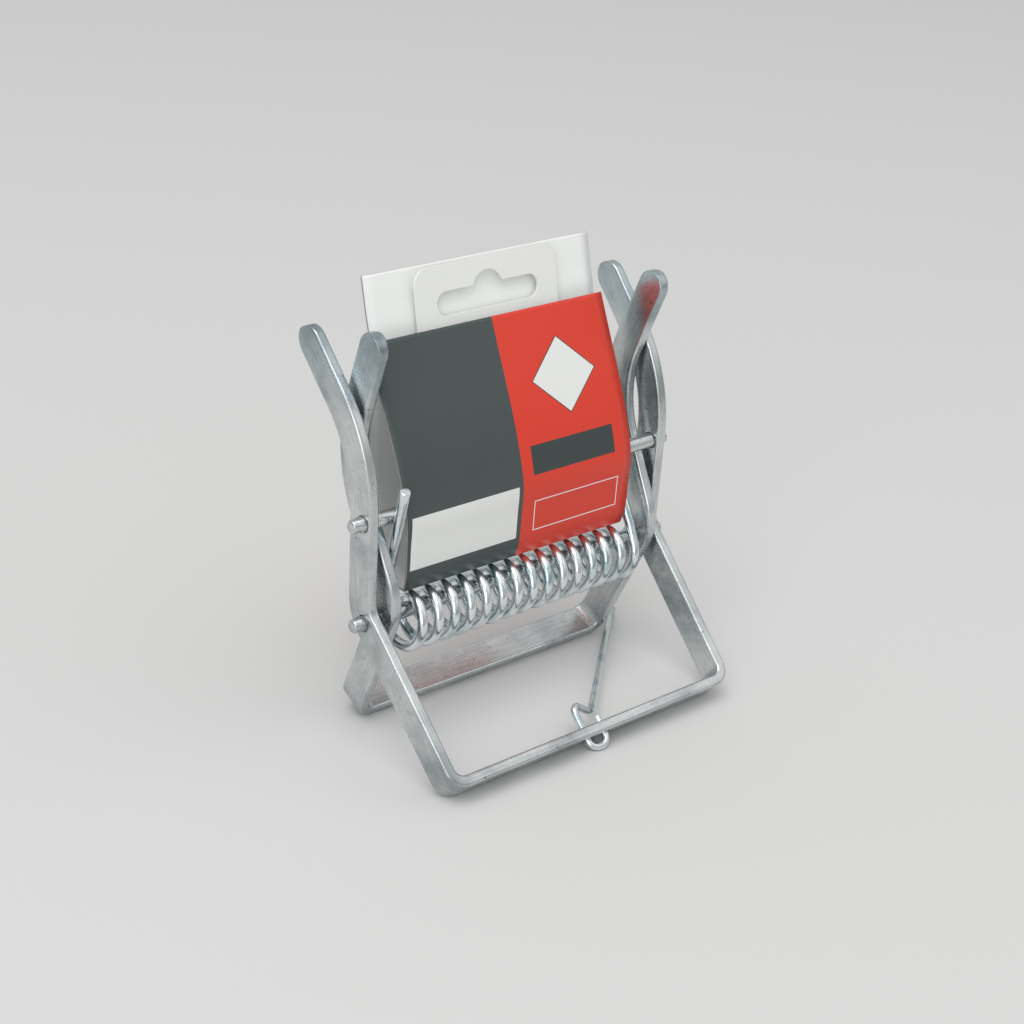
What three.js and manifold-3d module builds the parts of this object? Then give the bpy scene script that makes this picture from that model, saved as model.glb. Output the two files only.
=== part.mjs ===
// A squeeze-open mole trap with its folded card: two crossing strip frames on a pivot rod,
// a torsion spring round that rod, a stop rod, a trigger wire, a header card and its hang tab.
// Millimetres, +Z up, X across the trap, +Y to the back. Depths are behind the pivot rod until
// the last lines centre the trap over its origin; a rise is a height above the pivot rod.
import * as THREE from 'three';
import { mergeVertices } from 'three/addons/utils/BufferGeometryUtils.js';
import Module from 'manifold-3d';

const wasm = await Module();
wasm.setup();

// Clearances
const restGap = 0.3;
const holeClearance = 0.3;

// Flat strip that both frames are bent from
const stripWidth = 8.8;
const stripThickness = 3.0;
const stripEdge = 0.9;
const tipFlatHalf = 1.0;

// Cross rods
const rodRadius = 2.0;
const rodEndRadius = 1.8;
const rodEndChamfer = 0.4;
const rodEndLength = 2.3;
const stopRodShift = -0.7;
const pivotHeight = 35.0;
const stopDepth = 1.0;
const stopRise = 27.35;

// Outer frame: the bends of its legs' centrelines
const outerHalfWidth = 49.4;
const outerFootInset = 1.2;
const outerShoulderSpread = 0.5;
const outerTipSpread = 1.2;
const outerFootDepth = -34.4;
const outerKneeDepth = 1.9;
const outerKneeRise = 1.85;
const outerShoulderDepth = 2.6;
const outerShoulderRise = 44.8;
const outerTipDepth = 24.4;
const outerTipRise = 66.55;
const outerCornerRadius = 4.0;
const outerKneeRadius = 10.0;
const outerShoulderRadius = 38.0;

// Inner frame, nested between the outer frame's legs
const frameGap = 1.3;
const innerFootInset = 1.6;
const innerShoulderSpread = 0.8;
const innerTipSpread = 1.95;
const innerFootDepth = 12.5;
const innerKneeDepth = -3.6;
const innerKneeRise = 5.75;
const innerShankLength = 38.9;
const innerTipDepth = 4.8;
const innerTipRise = 70.55;
const innerCornerRadius = 4.5;
const innerKneeRadius = 11.0;
const innerShoulderRadius = 34.0;

// Main torsion spring, its sides measured from the inner frame's legs
const springWireRadius = 1.4;
const springCoilRadius = 6.8;
const springHangGap = 0.42;
const springLeftGap = 2.3;
const springRightGap = 2.1;
const springRightDrift = 0.6;
const springWholeTurns = 14.5;
const springLeftLegDrift = 4.3;
const springLeftLegRise = 37.4;
const springRightLegEase = 6.0;
const springHookPast = 1.4;
const springHookBend = 3.6;

// Trigger wire
const triggerWireRadius = 1.0;
const triggerHoleRadius = 2.0;
const eyeCentre = 1.0;
const eyeSpacing = 5.2;
const eyeTurn = 0.2;
const eyeDepth = 4.2;
const eyeBend = 2.5;
const eyeShortEnd = 3.4;
const eyeTallEnd = 9.0;
const eyeTopBend = 1.8;
const armBend = 4.0;
const armStart = new THREE.Vector3(5.0, -28.6, 5.2);
const armPastInset = 1.3;
const armPastDepth = 6.6;
const armPastHeight = 2.4;
const armEndPast = 3.0;

// Header card. Above the stop rod its panels are depth and height pairs from that rod's centre,
// and below it they are pairs of depth and share of the height from the fold to the rod. The
// front panel's left edge flares outward from the fold to the top.
const cardThickness = 0.6;
const cardSideGap = 0.5;
const cardFoldDepth = 1.0;
const cardFoldRise = 1.4;
const cardFrontUpper = [[14.4, 39.9], [9.5, 29.8], [4.6, 19.8], [0.6, 10.6]];
const cardFrontLowerShares = [[-2.0, 0.6], [-1.9, 0.25]];
const cardRearLowerShares = [[3.2, 0.05], [8.0, 0.27], [12.0, 0.55], [14.6, 0.8]];
const cardRearUpper = [[15.0, 2.5], [15.8, 12.0], [16.0, 24.0], [17.4, 38.8], [19.6, 46.6], [21.8, 54.4]];
const cardStopGap = 0.55;
const cardFlareTop = 3.2;
const cardFlareFold = 0.3;

// Hang tab, which leans towards the inside of the rear panel and stands clear of it at the top
const tabGap = 2.1;
const tabLean = 0.22;
const tabDrop = 0.6;
const tabLength = 29.2;
const tabSideInset = 13.7;
const tabCorner = 4.5;
const slotDrop = 9.8;
const slotSideInset = 6.5;
const slotHalfHeight = 3.1;
const slotHumpRadius = 5.0;
const slotHumpRise = 1.5;

// Fineness
const stripArcStep = Math.PI / 16;
const wireArcStep = Math.PI / 10;
const edgeSteps = 2;
const tipSteps = 5;
const rodSides = 24;
const springStepsPerTurn = 16;
const springSides = 6;
const triggerSides = 8;
const cardStepsPerPoint = 3;
const tabArcSteps = 8;

const xAxis = new THREE.Vector3(1, 0, 0);

function point(across, depth, height) {
  return new THREE.Vector3(across, depth, height);
}

function direction(from, to) {
  return to.clone().sub(from).normalize();
}

// Stations, each a place and a heading, along straight runs joined by round bends.
function roundedPath(corners, radii, arcStep) {
  const last = corners.length - 1;
  const stations = [{ place: corners[0].clone(), heading: direction(corners[0], corners[1]) }];
  for (let index = 1; index < last; index += 1) {
    const arriving = direction(corners[index - 1], corners[index]);
    const leaving = direction(corners[index], corners[index + 1]);
    const turn = arriving.angleTo(leaving);
    const radius = radii[index - 1];
    const inward = leaving.clone().addScaledVector(arriving, -arriving.dot(leaving)).normalize();
    const start = corners[index].clone().addScaledVector(arriving, -radius * Math.tan(turn / 2));
    const steps = Math.max(1, Math.ceil(turn / arcStep));
    for (let step = 0; step <= steps; step += 1) {
      const angle = (turn * step) / steps;
      const place = start.clone()
        .addScaledVector(arriving, radius * Math.sin(angle))
        .addScaledVector(inward, radius * (1 - Math.cos(angle)));
      const heading = arriving.clone().multiplyScalar(Math.cos(angle))
        .addScaledVector(inward, Math.sin(angle));
      stations.push({ place, heading });
    }
  }
  stations.push({ place: corners[last].clone(), heading: direction(corners[last - 1], corners[last]) });
  return stations;
}

// One closed body through rings with equal numbers of points, with flat ends.
function loft(rings) {
  const around = rings[0].length;
  const positions = rings.flat().flatMap((corner) => [corner.x, corner.y, corner.z]);
  const faces = [];
  for (let ring = 0; ring < rings.length - 1; ring += 1) {
    for (let side = 0; side < around; side += 1) {
      const here = ring * around + side;
      const beside = ring * around + ((side + 1) % around);
      faces.push(here, beside, beside + around);
      faces.push(here, beside + around, here + around);
    }
  }
  const end = (rings.length - 1) * around;
  for (let side = 1; side < around - 1; side += 1) {
    faces.push(0, side + 1, side);
    faces.push(end, end + side, end + side + 1);
  }
  const geometry = new THREE.BufferGeometry();
  geometry.setAttribute('position', new THREE.Float32BufferAttribute(positions, 3));
  geometry.setIndex(faces);
  return facingOut(geometry);
}

function signedVolume(geometry) {
  const places = geometry.getAttribute('position');
  const faces = geometry.getIndex();
  const corners = [new THREE.Vector3(), new THREE.Vector3(), new THREE.Vector3()];
  let volume = 0;
  for (let face = 0; face < faces.count; face += 3) {
    corners.forEach((corner, index) => corner.fromBufferAttribute(places, faces.getX(face + index)));
    volume += corners[0].dot(corners[1].clone().cross(corners[2])) / 6;
  }
  return volume;
}

function facingOut(geometry) {
  if (signedVolume(geometry) < 0) {
    const faces = Array.from(geometry.getIndex().array);
    for (let face = 0; face < faces.length; face += 3) {
      [faces[face], faces[face + 1]] = [faces[face + 1], faces[face]];
    }
    geometry.setIndex(faces);
  }
  geometry.computeVertexNormals();
  return geometry;
}

function toSolid(geometry) {
  const bare = geometry.clone();
  bare.deleteAttribute('normal');
  bare.deleteAttribute('uv');
  const merged = facingOut(mergeVertices(bare));
  return new wasm.Manifold(new wasm.Mesh({
    numProp: 3,
    vertProperties: new Float32Array(merged.getAttribute('position').array),
    triVerts: new Uint32Array(merged.getIndex().array),
  }));
}

function fromSolid(solid) {
  const mesh = solid.getMesh();
  const geometry = new THREE.BufferGeometry();
  geometry.setAttribute('position', new THREE.BufferAttribute(mesh.vertProperties, 3));
  geometry.setIndex(new THREE.BufferAttribute(mesh.triVerts, 1));
  geometry.computeVertexNormals();
  return geometry;
}

// A plain cylinder along a direction, as a tool for drilling.
function drill(radius, length, centre, along) {
  const geometry = new THREE.CylinderGeometry(radius, radius, length, rodSides);
  const turn = new THREE.Quaternion().setFromUnitVectors(new THREE.Vector3(0, 1, 0), along);
  geometry.applyQuaternion(turn);
  geometry.translate(centre.x, centre.y, centre.z);
  return toSolid(geometry);
}

// Rounded rectangle of the strip's section, as pairs across its width and its thickness.
function stripSection(halfWidth) {
  const section = [];
  for (let quarter = 0; quarter < 4; quarter += 1) {
    const widthSide = quarter === 0 || quarter === 3 ? 1 : -1;
    const thickSide = quarter < 2 ? 1 : -1;
    for (let step = 0; step <= edgeSteps; step += 1) {
      const angle = (quarter + step / edgeSteps) * (Math.PI / 2);
      section.push([
        widthSide * (halfWidth - stripEdge) + stripEdge * Math.cos(angle),
        thickSide * (stripThickness / 2 - stripEdge) + stripEdge * Math.sin(angle),
      ]);
    }
  }
  return section;
}

function stripRing(place, heading, widthDirection, halfWidth) {
  const thickDirection = heading.clone().cross(widthDirection).normalize();
  return stripSection(halfWidth).map(([width, thick]) => place.clone()
    .addScaledVector(widthDirection, width)
    .addScaledVector(thickDirection, thick));
}

// A U of strip from tip to tip. Its legs are bent edgewise, and its foot corners flatwise.
function stripFrame(foot, knee, shoulder, tip, radii) {
  const mirrored = (corner) => point(-corner.x, corner.y, corner.z);
  const corners = [tip, shoulder, knee, foot].map(mirrored).concat([foot, knee, shoulder, tip]);
  const [cornerRadius, kneeRadius, shoulderRadius] = radii;
  const bends = [shoulderRadius, kneeRadius, cornerRadius, cornerRadius, kneeRadius, shoulderRadius];
  const stations = roundedPath(corners, bends, stripArcStep);
  const legUp = direction(point(0, foot.y, foot.z), point(0, knee.y, knee.z));
  const barWidth = xAxis.clone().cross(legUp);
  const widthAt = ({ heading }) => {
    if (Math.abs(heading.x) > Math.sin(stripArcStep)) {
      return barWidth;
    }
    return xAxis.clone().cross(heading).multiplyScalar(Math.sign(heading.z)).normalize();
  };
  const rings = stations.map((station) => (
    stripRing(station.place, station.heading, widthAt(station), stripWidth / 2)));
  const tipRings = (station, forward) => {
    const extra = [];
    const endAngle = Math.acos(tipFlatHalf / (stripWidth / 2));
    for (let step = 1; step <= tipSteps; step += 1) {
      const angle = (endAngle * step) / tipSteps;
      const place = station.place.clone()
        .addScaledVector(station.heading, (forward * Math.sin(angle) * stripWidth) / 2);
      const halfWidth = (Math.cos(angle) * stripWidth) / 2;
      extra.push(stripRing(place, station.heading, widthAt(station), halfWidth));
    }
    return extra;
  };
  const firstTip = tipRings(stations[0], -1).reverse();
  const lastTip = tipRings(stations[stations.length - 1], 1);
  return toSolid(loft([...firstTip, ...rings, ...lastTip]));
}

// Height of the bar's centreline where the tilted, edge-rounded bar stands on the floor.
function barHeight(legUp) {
  const acrossWidth = (stripWidth / 2 - stripEdge) * Math.abs(legUp.y);
  const acrossThickness = (stripThickness / 2 - stripEdge) * Math.abs(legUp.z);
  return acrossWidth + acrossThickness + stripEdge;
}

function footFor(depth, knee, across) {
  let height = stripWidth / 2;
  for (let pass = 0; pass < 8; pass += 1) {
    height = barHeight(direction(point(0, depth, height), point(0, knee.y, knee.z)));
  }
  return point(across, depth, height);
}

// A round tube along a list of places, its rings carried along without twisting.
function tube(places, radius, sides) {
  const last = places.length - 1;
  const headings = places.map((place, index) => {
    const before = places[Math.max(0, index - 1)];
    const after = places[Math.min(last, index + 1)];
    return direction(before, after);
  });
  let across = xAxis.clone();
  if (Math.abs(headings[0].x) > Math.SQRT1_2) {
    across = point(0, 0, 1);
  }
  const rings = places.map((place, index) => {
    const heading = headings[index];
    across = across.clone().addScaledVector(heading, -across.dot(heading)).normalize();
    const beside = heading.clone().cross(across);
    const ring = [];
    for (let side = 0; side < sides; side += 1) {
      const angle = (2 * Math.PI * side) / sides;
      ring.push(place.clone()
        .addScaledVector(across, radius * Math.cos(angle))
        .addScaledVector(beside, radius * Math.sin(angle)));
    }
    return ring;
  });
  return loft(rings);
}

function rod() {
  const profile = [
    new THREE.Vector2(0, -rodHalfLength),
    new THREE.Vector2(rodEndRadius - rodEndChamfer, -rodHalfLength),
    new THREE.Vector2(rodEndRadius, -rodHalfLength + rodEndChamfer),
    new THREE.Vector2(rodEndRadius, -rodEndStart - rodEndChamfer),
    new THREE.Vector2(rodRadius, -rodEndStart),
    new THREE.Vector2(rodRadius, rodEndStart),
    new THREE.Vector2(rodEndRadius, rodEndStart + rodEndChamfer),
    new THREE.Vector2(rodEndRadius, rodHalfLength - rodEndChamfer),
    new THREE.Vector2(rodEndRadius - rodEndChamfer, rodHalfLength),
    new THREE.Vector2(0, rodHalfLength),
  ];
  const geometry = new THREE.LatheGeometry(profile, rodSides);
  geometry.rotateZ(-Math.PI / 2);
  return fromSolid(toSolid(geometry));
}

// Outer frame, drilled for both rods and for the trigger's eye
const outerAcross = outerHalfWidth - stripThickness / 2;
const outerKnee = point(outerAcross, outerKneeDepth, pivotHeight + outerKneeRise);
const outerShoulder = point(
  outerAcross + outerShoulderSpread, outerShoulderDepth, pivotHeight + outerShoulderRise);
const outerTip = point(outerAcross + outerTipSpread, outerTipDepth, pivotHeight + outerTipRise);
const outerFoot = footFor(outerFootDepth, outerKnee, outerAcross - outerFootInset);
const outerLegUp = direction(point(0, outerFoot.y, outerFoot.z), point(0, outerKnee.y, outerKnee.z));
const outerBarWidth = xAxis.clone().cross(outerLegUp);
const rodEndStart = outerHalfWidth + outerShoulderSpread + restGap;
const rodHalfLength = rodEndStart + rodEndLength;
const stopHeight = pivotHeight + stopRise;
const stopCentre = point(0, stopDepth, stopHeight);
const pivotCentre = point(0, 0, pivotHeight);
const boreRadius = rodRadius + holeClearance;
const boreLength = 2 * rodHalfLength;

// Places where the trigger's eye passes the bar, left then right
const eyePlaces = [-1, 1].map((side) => point(eyeCentre, outerFoot.y, outerFoot.z)
  .addScaledVector(xAxis, (side * eyeSpacing * Math.cos(eyeTurn)) / 2)
  .addScaledVector(outerBarWidth, (side * eyeSpacing * Math.sin(eyeTurn)) / 2));

let outerSolid = stripFrame(outerFoot, outerKnee, outerShoulder, outerTip, [
  outerCornerRadius, outerKneeRadius, outerShoulderRadius]);
outerSolid = outerSolid.subtract(drill(boreRadius, boreLength, pivotCentre, xAxis));
outerSolid = outerSolid.subtract(drill(boreRadius, boreLength, stopCentre, xAxis));
eyePlaces.forEach((place) => {
  const hole = drill(triggerHoleRadius, 2 * stripThickness, place, outerLegUp);
  outerSolid = outerSolid.subtract(hole);
});

// Inner frame: its shank leans back until it rests behind the stop rod
const innerHalfWidth = outerHalfWidth - stripThickness - frameGap;
const innerAcross = innerHalfWidth - stripThickness / 2;
const innerKnee = point(innerAcross, innerKneeDepth, pivotHeight + innerKneeRise);
const shankToStop = Math.hypot(stopDepth - innerKneeDepth, stopRise - innerKneeRise);
const restOffset = rodRadius + restGap + stripWidth / 2;
const shankLean = Math.atan2(stopDepth - innerKneeDepth, stopRise - innerKneeRise)
  + Math.asin(restOffset / shankToStop);
const innerShoulder = point(
  innerAcross + innerShoulderSpread,
  innerKneeDepth + innerShankLength * Math.sin(shankLean),
  innerKnee.z + innerShankLength * Math.cos(shankLean),
);
const innerTip = point(innerAcross + innerTipSpread, innerTipDepth, pivotHeight + innerTipRise);
const innerFoot = footFor(innerFootDepth, innerKnee, innerAcross - innerFootInset);
const innerSolid = stripFrame(innerFoot, innerKnee, innerShoulder, innerTip, [
  innerCornerRadius, innerKneeRadius, innerShoulderRadius])
  .subtract(drill(boreRadius, boreLength, pivotCentre, xAxis));

// Main spring. Its coil hangs on the pivot rod; each leg leaves the coil at a tangent.
const innerLegInside = innerHalfWidth - stripThickness;
const springLeft = -(innerLegInside - springLeftGap - springWireRadius);
const springRightLegAcross = innerLegInside - springRightGap - springWireRadius;
const springRight = springRightLegAcross - springRightDrift;
const coilHeight = pivotHeight + rodRadius + springHangGap + springWireRadius - springCoilRadius;
const stopFromCoil = Math.hypot(stopDepth, stopHeight - coilHeight);
const leftLegLean = Math.asin(
  (springCoilRadius + rodRadius + springWireRadius + restGap) / stopFromCoil)
  - Math.atan2(stopDepth, stopHeight - coilHeight);

// Middle of the inner frame's shoulder bend, and the hook's place behind it
const shankUp = direction(point(0, innerKnee.y, innerKnee.z), point(0, innerShoulder.y, innerShoulder.z));
const prongUp = direction(point(0, innerShoulder.y, innerShoulder.z), point(0, innerTip.y, innerTip.z));
const shoulderInward = prongUp.clone().sub(shankUp).normalize();
const shoulderSetIn = innerShoulderRadius * (1 / Math.cos(shankUp.angleTo(prongUp) / 2) - 1);
const hookOffset = stripWidth / 2 + restGap + springWireRadius;
const hookPlace = point(0, innerShoulder.y, innerShoulder.z)
  .addScaledVector(shoulderInward, shoulderSetIn - hookOffset);
const rightLegLean = Math.atan2(hookPlace.y, hookPlace.z - coilHeight)
  + Math.asin(springCoilRadius / Math.hypot(hookPlace.y, hookPlace.z - coilHeight));

function springPlaces() {
  const coilStart = -leftLegLean;
  const coilEnd = springWholeTurns * 2 * Math.PI + rightLegLean;
  const pitch = (springRight - springLeft) / (coilEnd - coilStart);
  const coilSteps = Math.round((springStepsPerTurn * (coilEnd - coilStart)) / (2 * Math.PI));
  const coil = [];
  for (let step = 0; step <= coilSteps; step += 1) {
    const angle = coilStart + ((coilEnd - coilStart) * step) / coilSteps;
    coil.push(point(
      springLeft + pitch * (angle - coilStart),
      springCoilRadius * Math.cos(angle),
      coilHeight - springCoilRadius * Math.sin(angle),
    ));
  }
  const leftTopHeight = pivotHeight + springLeftLegRise;
  const leftTop = point(springLeft - springLeftLegDrift,
    coil[0].y - (leftTopHeight - coil[0].z) * Math.tan(leftLegLean), leftTopHeight);
  const end = coil[coil.length - 1];
  const rightTurn = point(springRightLegAcross,
    end.y + springRightLegEase * Math.sin(rightLegLean),
    end.z + springRightLegEase * Math.cos(rightLegLean));
  const hookCorner = point(springRightLegAcross, hookPlace.y, hookPlace.z);
  const hookEnd = point(innerHalfWidth + springHookPast, hookPlace.y, hookPlace.z);
  const rightLeg = roundedPath([end, rightTurn, hookCorner, hookEnd],
    [springCoilRadius, springHookBend], wireArcStep).map((station) => station.place);
  return [leftTop, ...coil, ...rightLeg.slice(1)];
}

// Least clear distance between parts of the wire that aren't next to each other.
function leastGap(places, radius, stepsApart) {
  let least = Infinity;
  places.forEach((place, index) => {
    for (let other = index + stepsApart; other < places.length; other += 1) {
      least = Math.min(least, place.distanceTo(places[other]) - 2 * radius);
    }
  });
  return least;
}

const springLine = springPlaces();
console.log('least gap in the spring, mm:',
  leastGap(springLine, springWireRadius, springStepsPerTurn / 2).toFixed(2));

// Trigger: short end, down through the bar, round below it, up through, over and along the arm
const [eyeLeft, eyeRight] = eyePlaces;
const alongLeg = (place, distance) => place.clone().addScaledVector(outerLegUp, distance);
const armPast = point(innerHalfWidth - armPastInset, armPastDepth, armPastHeight);
const armHeading = direction(armStart, armPast);
const armEnd = armStart.clone()
  .addScaledVector(armHeading, (outerHalfWidth + armEndPast - armStart.x) / armHeading.x);
const triggerLine = roundedPath([
  alongLeg(eyeRight, eyeShortEnd),
  alongLeg(eyeRight, -eyeDepth),
  alongLeg(eyeLeft, -eyeDepth),
  alongLeg(eyeLeft, eyeTallEnd),
  armStart,
  armEnd,
], [eyeBend, eyeBend, eyeTopBend, armBend], wireArcStep).map((station) => station.place);

// Header card: one sheet folded over the spring, its panels before and behind the stop rod
const cardHalfWidth = springRightLegAcross - springWireRadius - cardSideGap;

function cardGeometry() {
  const foldHeight = coilHeight + springCoilRadius + springWireRadius + restGap + cardThickness / 2;
  const upper = ([depth, height]) => new THREE.Vector2(stopDepth + depth, stopHeight + height);
  const lower = ([depth, share]) => (
    new THREE.Vector2(depth, foldHeight + share * (stopHeight - foldHeight)));
  const line = new THREE.SplineCurve([
    ...cardFrontUpper.map(upper),
    new THREE.Vector2(stopDepth - rodRadius - cardStopGap - cardThickness / 2, stopHeight),
    ...cardFrontLowerShares.map(lower),
    new THREE.Vector2(-cardFoldDepth, foldHeight + cardFoldRise),
    new THREE.Vector2(0, foldHeight),
    ...cardRearLowerShares.map(lower),
    ...cardRearUpper.map(upper),
  ]);
  const cardSteps = cardStepsPerPoint * (line.points.length - 1);
  const frontSteps = cardStepsPerPoint * (
    cardFrontUpper.length + 1 + cardFrontLowerShares.length + 1);
  const rings = [];
  for (let step = 0; step <= cardSteps; step += 1) {
    const place = line.getPoint(step / cardSteps);
    const heading = line.getTangent(step / cardSteps);
    const square = new THREE.Vector2(-heading.y, heading.x).multiplyScalar(cardThickness / 2);
    let flare = cardFlareFold * (1 - (step - frontSteps) / (cardSteps - frontSteps));
    if (step < frontSteps) {
      flare = cardFlareFold + (cardFlareTop - cardFlareFold) * (1 - step / frontSteps);
    }
    const [before, behind] = [place.clone().add(square), place.clone().sub(square)];
    rings.push([
      point(-cardHalfWidth - flare, before.x, before.y),
      point(-cardHalfWidth - flare, behind.x, behind.y),
      point(cardHalfWidth, behind.x, behind.y),
      point(cardHalfWidth, before.x, before.y),
    ]);
  }
  return fromSolid(toSolid(loft(rings)));
}

// Hang tab: a flat leaf with a long slot that has a hump in the middle of its upper edge
function tabGeometry() {
  const tabHalfWidth = cardHalfWidth - tabSideInset;
  const slotHalfWidth = tabHalfWidth - slotSideInset;
  const panelTop = cardRearUpper.at(-1);
  const slotMiddle = tabLength - slotDrop;
  const outline = new THREE.Shape();
  outline.moveTo(-tabHalfWidth, 0);
  outline.lineTo(tabHalfWidth, 0);
  outline.lineTo(tabHalfWidth, tabLength - tabCorner);
  outline.absarc(tabHalfWidth - tabCorner, tabLength - tabCorner, tabCorner, 0, Math.PI / 2);
  outline.lineTo(-tabHalfWidth + tabCorner, tabLength);
  outline.absarc(-tabHalfWidth + tabCorner, tabLength - tabCorner, tabCorner, Math.PI / 2, Math.PI);
  outline.closePath();
  const slotEnd = slotHalfWidth - slotHalfHeight;
  const humpMiddle = slotMiddle + slotHumpRise;
  const humpMeets = Math.asin((slotHalfHeight - slotHumpRise) / slotHumpRadius);
  const slot = new THREE.Path();
  slot.moveTo(-slotEnd, slotMiddle - slotHalfHeight);
  slot.absarc(slotEnd, slotMiddle, slotHalfHeight, -Math.PI / 2, Math.PI / 2);
  slot.absarc(0, humpMiddle, slotHumpRadius, humpMeets, Math.PI - humpMeets);
  slot.absarc(-slotEnd, slotMiddle, slotHalfHeight, Math.PI / 2, (3 * Math.PI) / 2);
  slot.closePath();
  outline.holes.push(slot);
  const geometry = new THREE.ExtrudeGeometry(outline, {
    depth: cardThickness, bevelEnabled: false, curveSegments: tabArcSteps });
  geometry.translate(0, -tabLength - tabDrop, cardThickness / 2 + tabGap);
  geometry.rotateX(Math.PI / 2 - tabLean);
  geometry.translate(0, stopDepth + panelTop[0], stopHeight + panelTop[1]);
  return fromSolid(toSolid(geometry));
}

function finish(color, roughness, metalness) {
  return new THREE.MeshStandardMaterial({ color, roughness, metalness });
}

const trap = new THREE.Group();

function add(name, geometry, material) {
  const mesh = new THREE.Mesh(geometry, material);
  mesh.name = name;
  trap.add(mesh);
  return mesh;
}

add('outer_frame', fromSolid(outerSolid), finish(0xa3a8a8, 0.38, 1));
add('inner_frame', fromSolid(innerSolid), finish(0x9ca2a1, 0.4, 1));
const pivotRod = add('pivot_rod', rod(), finish(0xa9adad, 0.35, 1));
pivotRod.position.copy(pivotCentre);
const stopRod = add('stop_rod', rod(), finish(0xa9adad, 0.35, 1));
stopRod.position.copy(stopCentre).setX(stopRodShift);
add('main_spring', tube(springLine, springWireRadius, springSides), finish(0xc3c9cb, 0.2, 1));
add('trigger', tube(triggerLine, triggerWireRadius, triggerSides), finish(0xc3c9cb, 0.2, 1));
add('header_card', cardGeometry(), finish(0xd84536, 0.6, 0));
add('hang_tab', tabGeometry(), finish(0xe6e7e5, 0.6, 0));

// The origin is on the floor under the middle of the trap.
trap.updateMatrixWorld(true);
const extent = new THREE.Box3().setFromObject(trap, true);
trap.position.y = -(extent.min.y + extent.max.y) / 2;
console.log('pivot rod depth from the origin, mm:', trap.position.y.toFixed(3));
console.log('overall size, mm:', extent.getSize(new THREE.Vector3()).toArray()
  .map((length) => length.toFixed(2)).join(' x '));

export default trap;
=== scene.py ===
# A galvanised mole trap with its printed card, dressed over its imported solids.
# Meshes are in metres, the dictionaries in millimetres. +Z is up and +Y the back.
import math
import bmesh
import bpy
from mathutils import Matrix, Vector


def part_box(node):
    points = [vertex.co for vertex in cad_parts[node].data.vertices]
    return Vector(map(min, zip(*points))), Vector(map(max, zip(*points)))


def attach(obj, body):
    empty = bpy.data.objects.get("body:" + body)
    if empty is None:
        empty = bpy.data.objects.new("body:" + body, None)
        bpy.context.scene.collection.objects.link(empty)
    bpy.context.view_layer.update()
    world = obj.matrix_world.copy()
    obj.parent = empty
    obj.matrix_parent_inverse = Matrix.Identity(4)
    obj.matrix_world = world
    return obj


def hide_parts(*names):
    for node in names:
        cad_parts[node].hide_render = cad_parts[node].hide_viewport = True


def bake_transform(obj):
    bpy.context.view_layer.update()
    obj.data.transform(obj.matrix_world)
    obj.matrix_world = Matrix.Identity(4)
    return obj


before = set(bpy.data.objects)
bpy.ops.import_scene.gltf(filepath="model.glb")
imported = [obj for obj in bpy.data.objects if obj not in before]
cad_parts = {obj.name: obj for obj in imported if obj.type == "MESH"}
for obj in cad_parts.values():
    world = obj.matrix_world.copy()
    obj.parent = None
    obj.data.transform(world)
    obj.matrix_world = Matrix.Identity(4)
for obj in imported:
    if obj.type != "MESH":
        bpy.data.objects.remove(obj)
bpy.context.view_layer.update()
mm = 0.001
scene = bpy.context.scene


def middleOf(node):
    low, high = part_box(node)
    return (Vector(low) + Vector(high)) / 2


pivot = middleOf("pivot_rod")  # every piece is placed from the two rods
stop = middleOf("stop_rod")
rodRadius = 2.0  # mm
restGap = 0.3  # mm between pieces that touch on the real trap
bendStep = math.radians(8)  # fineness of a wire's bends
xAxis = Vector((1, 0, 0))


# Mesh helpers

def direction(start, end):
    return (end - start).normalized()


# Places and headings along straight runs that are joined by arcs
def bentPath(corners, radii, stepAngle):
    stations = [(corners[0].copy(), direction(corners[0], corners[1]))]
    for index in range(1, len(corners) - 1):
        arriving = direction(corners[index - 1], corners[index])
        leaving = direction(corners[index], corners[index + 1])
        turn = arriving.angle(leaving)
        radius = radii[index - 1]
        inward = (leaving - arriving * arriving.dot(leaving)).normalized()
        start = corners[index] - arriving * radius * math.tan(turn / 2)
        steps = max(1, math.ceil(turn / stepAngle))
        for step in range(steps + 1):
            angle = turn * step / steps
            place = start + arriving * radius * math.sin(angle) + inward * radius * (1 - math.cos(angle))
            stations.append((place, arriving * math.cos(angle) + inward * math.sin(angle)))
    stations.append((corners[-1].copy(), direction(corners[-2], corners[-1])))
    return stations


def stationMatrix(place, across, heading, share=1.0):
    thick = heading.cross(across).normalized()
    wide = across * share
    columns = (wide, thick, heading, place)
    rows = [[column[row] for column in columns] for row in range(3)]
    return Matrix(rows + [[0, 0, 0, 1]])


# Carries a closed ring of edges through the stations and caps both ends. The attribute "along"
# keeps how far each vertex has travelled and where it lies in the ring, for the finishes.
def sweepRing(bm, ringEdges, matrices):
    layer = bm.verts.layers.float_vector.get("along") or bm.verts.layers.float_vector.new("along")
    ringVerts = list(bm.verts)
    for vert in ringVerts:
        vert[layer] = (0, vert.co.x, vert.co.y)
    bmesh.ops.transform(bm, matrix=matrices[0], verts=ringVerts)
    firstEdges = ringEdges
    travelled = 0
    for before, after in zip(matrices, matrices[1:]):
        travelled += (after.translation - before.translation).length
        grown = bmesh.ops.extrude_edge_only(bm, edges=ringEdges)["geom"]
        ringEdges = [item for item in grown if isinstance(item, bmesh.types.BMEdge)]
        ringVerts = [item for item in grown if isinstance(item, bmesh.types.BMVert)]
        bmesh.ops.transform(bm, matrix=after @ before.inverted(), verts=ringVerts)
        for vert in ringVerts:
            vert[layer] = (travelled, vert[layer][1], vert[layer][2])
    ends = []
    for edges in (firstEdges, ringEdges):
        ends += bmesh.ops.contextual_create(bm, geom=edges)["faces"]
    bmesh.ops.recalc_face_normals(bm, faces=bm.faces)
    return ends


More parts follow.
